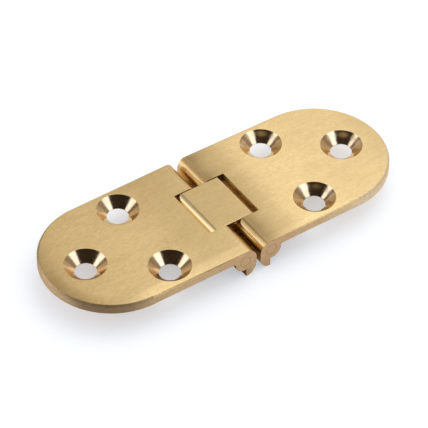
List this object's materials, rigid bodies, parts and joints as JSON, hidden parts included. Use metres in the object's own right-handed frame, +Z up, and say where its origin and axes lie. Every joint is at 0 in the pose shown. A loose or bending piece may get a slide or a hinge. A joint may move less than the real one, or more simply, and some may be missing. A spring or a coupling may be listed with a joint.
{
  "type": "sewing table hinge",
  "caption": "Flush table hinge: round-ended leaves that fold flat together on hidden pins in a short centre link, with countersunk screw holes and stop lips below.",
  "frame": {"origin": "on the ground under the lips, midway between the two pins and between the two long sides", "axes": "+X along the length towards the right leaf's round end, +Y along the pins, +Z up, out of the brushed top faces, with the hinge laid open flat"},
  "size_m": [0.08, 0.03, 0.0067],
  "materials": {
    "brushed_brass": "satin, brushed along the length, with polished countersinks and rounds",
    "pin_brass": "plain, ends ground flush"
  },
  "bodies": {
    "left_half": {"left_leaf": "brushed_brass", "left_pin": "pin_brass"},
    "middle": {"link": "brushed_brass"},
    "right_half": {"right_leaf": "brushed_brass", "right_pin": "pin_brass"}
  },
  "joints": [
    {"name": "left_fold", "type": "hinge", "parent": "left_half", "child": "middle", "pos_m": [-0.00319, 0, 0.0042], "axis": [0, -1, 0], "range_deg": [0, 90]},
    {"name": "right_fold", "type": "hinge", "parent": "middle", "child": "right_half", "pos_m": [0.00319, 0, 0.0042], "axis": [0, -1, 0], "range_deg": [0, 90]}
  ]
}
